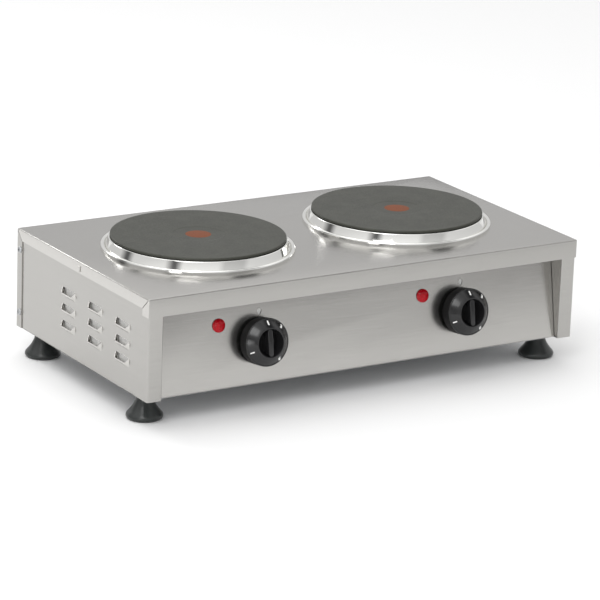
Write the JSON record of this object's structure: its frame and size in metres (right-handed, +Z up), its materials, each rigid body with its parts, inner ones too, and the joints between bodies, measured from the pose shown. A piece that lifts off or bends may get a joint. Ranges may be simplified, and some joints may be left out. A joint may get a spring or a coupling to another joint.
{
  "type": "twin electric hot plate",
  "caption": "Counter-top electric hot plate: stainless casing with louvred sides, round cast plates in polished trim rings, rotary controls with pilot lamps, height-adjustable feet.",
  "frame": {"origin": "on the counter, at the middle of the bounding box's underside", "axes": "+X to the user's right along the control panel, +Y away from the user, +Z up"},
  "size_m": [0.5144, 0.3097, 0.1483],
  "materials": {
    "stainless_sheet": "brushed along the width",
    "zinc_steel": "zinc plated",
    "plate_iron": "fine turned and blackened",
    "signal_red": "flat enamel",
    "polished_trim": "mirror polished stainless",
    "heating_wire": "oxidised resistance wire in a coil",
    "magnesia": "pressed magnesia",
    "steatite": "fired ceramic",
    "knob_black": "moulded phenolic, satin gloss",
    "foot_black": "moulded, soft sheen",
    "lamp_red": "clear red, moulded",
    "white_moulding": "moulded",
    "switch_moulding": "moulded phenolic with plated tabs",
    "brass_stud": "turned",
    "gland_black": "moulded nylon",
    "wire_sleeve": "silicone and glass sleeving"
  },
  "bodies": {
    "casing": {"worktop": "stainless_sheet", "left_side_panel": "stainless_sheet", "right_side_panel": "stainless_sheet", "control_panel": "stainless_sheet", "rear_panel": "stainless_sheet", "base_plate": "zinc_steel", "base_screws": "zinc_steel", "rear_panel_screws": "zinc_steel", "foot_nuts": "zinc_steel", "left_hot_plate": "plate_iron", "right_hot_plate": "plate_iron", "left_plate_dot": "signal_red", "right_plate_dot": "signal_red", "left_trim_ring": "polished_trim", "right_trim_ring": "polished_trim", "left_heating_coil": "heating_wire", "right_heating_coil": "heating_wire", "left_insulation": "magnesia", "right_insulation": "magnesia", "left_plate_cover": "zinc_steel", "right_plate_cover": "zinc_steel", "left_clamp_bar": "zinc_steel", "right_clamp_bar": "zinc_steel", "left_clamp_stud": "zinc_steel", "right_clamp_stud": "zinc_steel", "left_clamp_nut": "zinc_steel", "right_clamp_nut": "zinc_steel", "left_plate_terminals": "steatite", "right_plate_terminals": "steatite", "left_switch": "switch_moulding", "right_switch": "switch_moulding", "left_switch_screws": "zinc_steel", "right_switch_screws": "zinc_steel", "left_lamp_lens": "lamp_red", "right_lamp_lens": "lamp_red", "left_lamp_body": "white_moulding", "right_lamp_body": "white_moulding", "left_lamp_clip": "zinc_steel", "right_lamp_clip": "zinc_steel", "mains_terminal_block": "white_moulding", "earth_stud": "brass_stud", "cable_gland": "gland_black", "gland_nut": "gland_black", "left_plate_wires": "wire_sleeve", "right_plate_wires": "wire_sleeve", "left_supply_wires": "wire_sleeve", "right_supply_wires": "wire_sleeve", "lamp_wires": "wire_sleeve"},
    "left_control": {"left_knob": "knob_black", "left_switch_shaft": "zinc_steel"},
    "right_control": {"right_knob": "knob_black", "right_switch_shaft": "zinc_steel"},
    "front_left_leg": {"front_left_foot": "foot_black", "front_left_foot_stud": "zinc_steel"},
    "front_right_leg": {"front_right_foot": "foot_black", "front_right_foot_stud": "zinc_steel"},
    "rear_left_leg": {"rear_left_foot": "foot_black", "rear_left_foot_stud": "zinc_steel"},
    "rear_right_leg": {"rear_right_foot": "foot_black", "rear_right_foot_stud": "zinc_steel"}
  },
  "joints": [
    {"name": "left_knob_turn", "type": "hinge", "parent": "casing", "child": "left_control", "pos_m": [-0.12, -0.12908, 0.07081], "axis": [0, 0.9863, -0.165], "range_deg": [0, 314]},
    {"name": "right_knob_turn", "type": "hinge", "parent": "casing", "child": "right_control", "pos_m": [0.12, -0.12908, 0.07081], "axis": [0, 0.9863, -0.165], "range_deg": [0, 314]},
    {"name": "front_left_foot_height", "type": "slide", "parent": "casing", "child": "front_left_leg", "axis": [0, 0, -1], "range_m": [0, 0.01]},
    {"name": "front_right_foot_height", "type": "slide", "parent": "casing", "child": "front_right_leg", "axis": [0, 0, -1], "range_m": [0, 0.01]},
    {"name": "rear_left_foot_height", "type": "slide", "parent": "casing", "child": "rear_left_leg", "axis": [0, 0, -1], "range_m": [0, 0.01]},
    {"name": "rear_right_foot_height", "type": "slide", "parent": "casing", "child": "rear_right_leg", "axis": [0, 0, -1], "range_m": [0, 0.01]}
  ]
}
